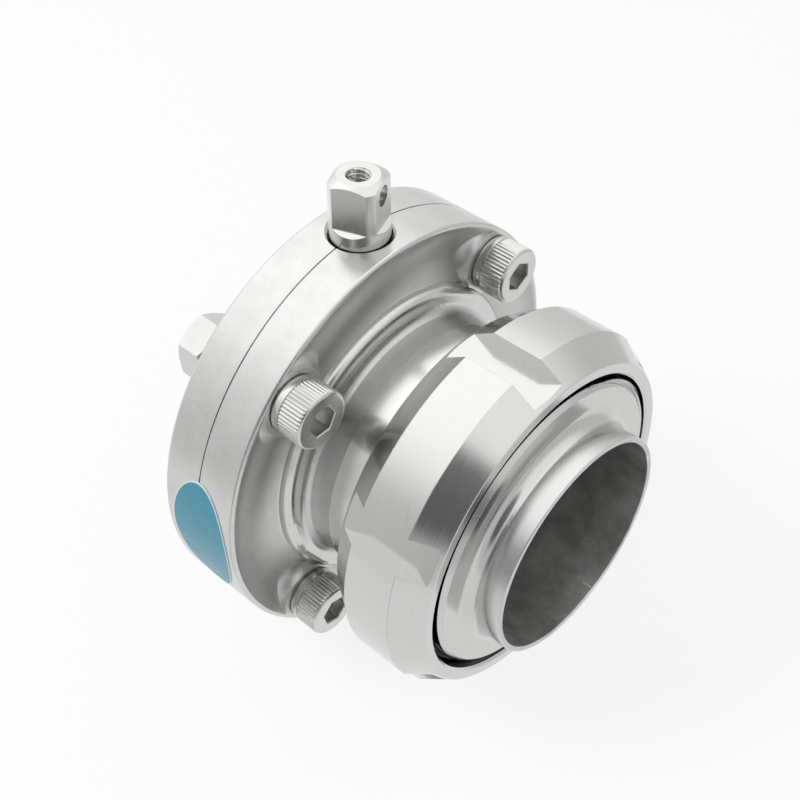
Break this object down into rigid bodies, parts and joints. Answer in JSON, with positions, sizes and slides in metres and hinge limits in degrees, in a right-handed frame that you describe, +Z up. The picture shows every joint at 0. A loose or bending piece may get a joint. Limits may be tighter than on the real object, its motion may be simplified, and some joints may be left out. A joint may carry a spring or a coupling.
{
  "type": "sanitary butterfly valve",
  "caption": "Sanitary butterfly valve with a bolted split body, a soft seat, a flatted drive stem and a round-nut union on one pipe end.",
  "frame": {"origin": "where the drive stem's axis crosses the pipe's axis, in the plane where the two body halves meet", "axes": "+X along the pipe toward the union nut, +Z up the drive stem"},
  "size_m": [0.086, 0.1002, 0.1134],
  "materials": {
    "body_steel": "fine turned and brushed stainless steel",
    "union_steel": "turned stainless steel with sharp machined slots",
    "stem_steel": "milled and ground stainless steel",
    "fastener_steel": "cold-formed stainless steel, knurled on the heads",
    "disc_steel": "polished stainless steel",
    "seat_rubber": "moulded black rubber",
    "gasket_rubber": "moulded black rubber",
    "bush_plastic": "turned bearing plastic",
    "label_film": "printed film with a clear coat"
  },
  "bodies": {
    "valve_body": {"body_half_front": "body_steel", "body_half_rear": "body_steel", "cap_screw_1": "fastener_steel", "cap_screw_2": "fastener_steel", "cap_screw_3": "fastener_steel", "cap_screw_4": "fastener_steel", "hex_nut_1": "fastener_steel", "hex_nut_2": "fastener_steel", "hex_nut_3": "fastener_steel", "hex_nut_4": "fastener_steel", "lower_bush": "bush_plastic", "seat_seal": "seat_rubber", "side_label": "label_film", "union_liner": "body_steel", "upper_bush": "bush_plastic"},
    "disc_and_stem": {"valve_disc": "disc_steel", "drive_stem": "stem_steel", "lower_trunnion": "stem_steel"},
    "union_nut": {"union_nut": "union_steel"},
    "weld_end": {"threaded_weld_end": "union_steel", "union_gasket": "gasket_rubber"}
  },
  "joints": [
    {"name": "disc_turn", "type": "hinge", "parent": "valve_body", "child": "disc_and_stem", "pos_m": [0, 0, 0], "axis": [0, 0, 1], "range_deg": [-20, 70]},
    {"name": "union_nut_spin", "type": "hinge", "parent": "valve_body", "child": "union_nut", "pos_m": [0.04, 0, 0], "axis": [-1, 0, 0], "range_deg": [0, 1080]},
    {"name": "weld_end_slide", "type": "slide", "parent": "valve_body", "child": "weld_end", "axis": [1, 0, 0], "range_m": [0, 0.01271]}
  ],
  "couplings": [
    {"joint": "weld_end_slide", "follows": "union_nut_spin", "m_per_rad": 0.00067376}
  ]
}
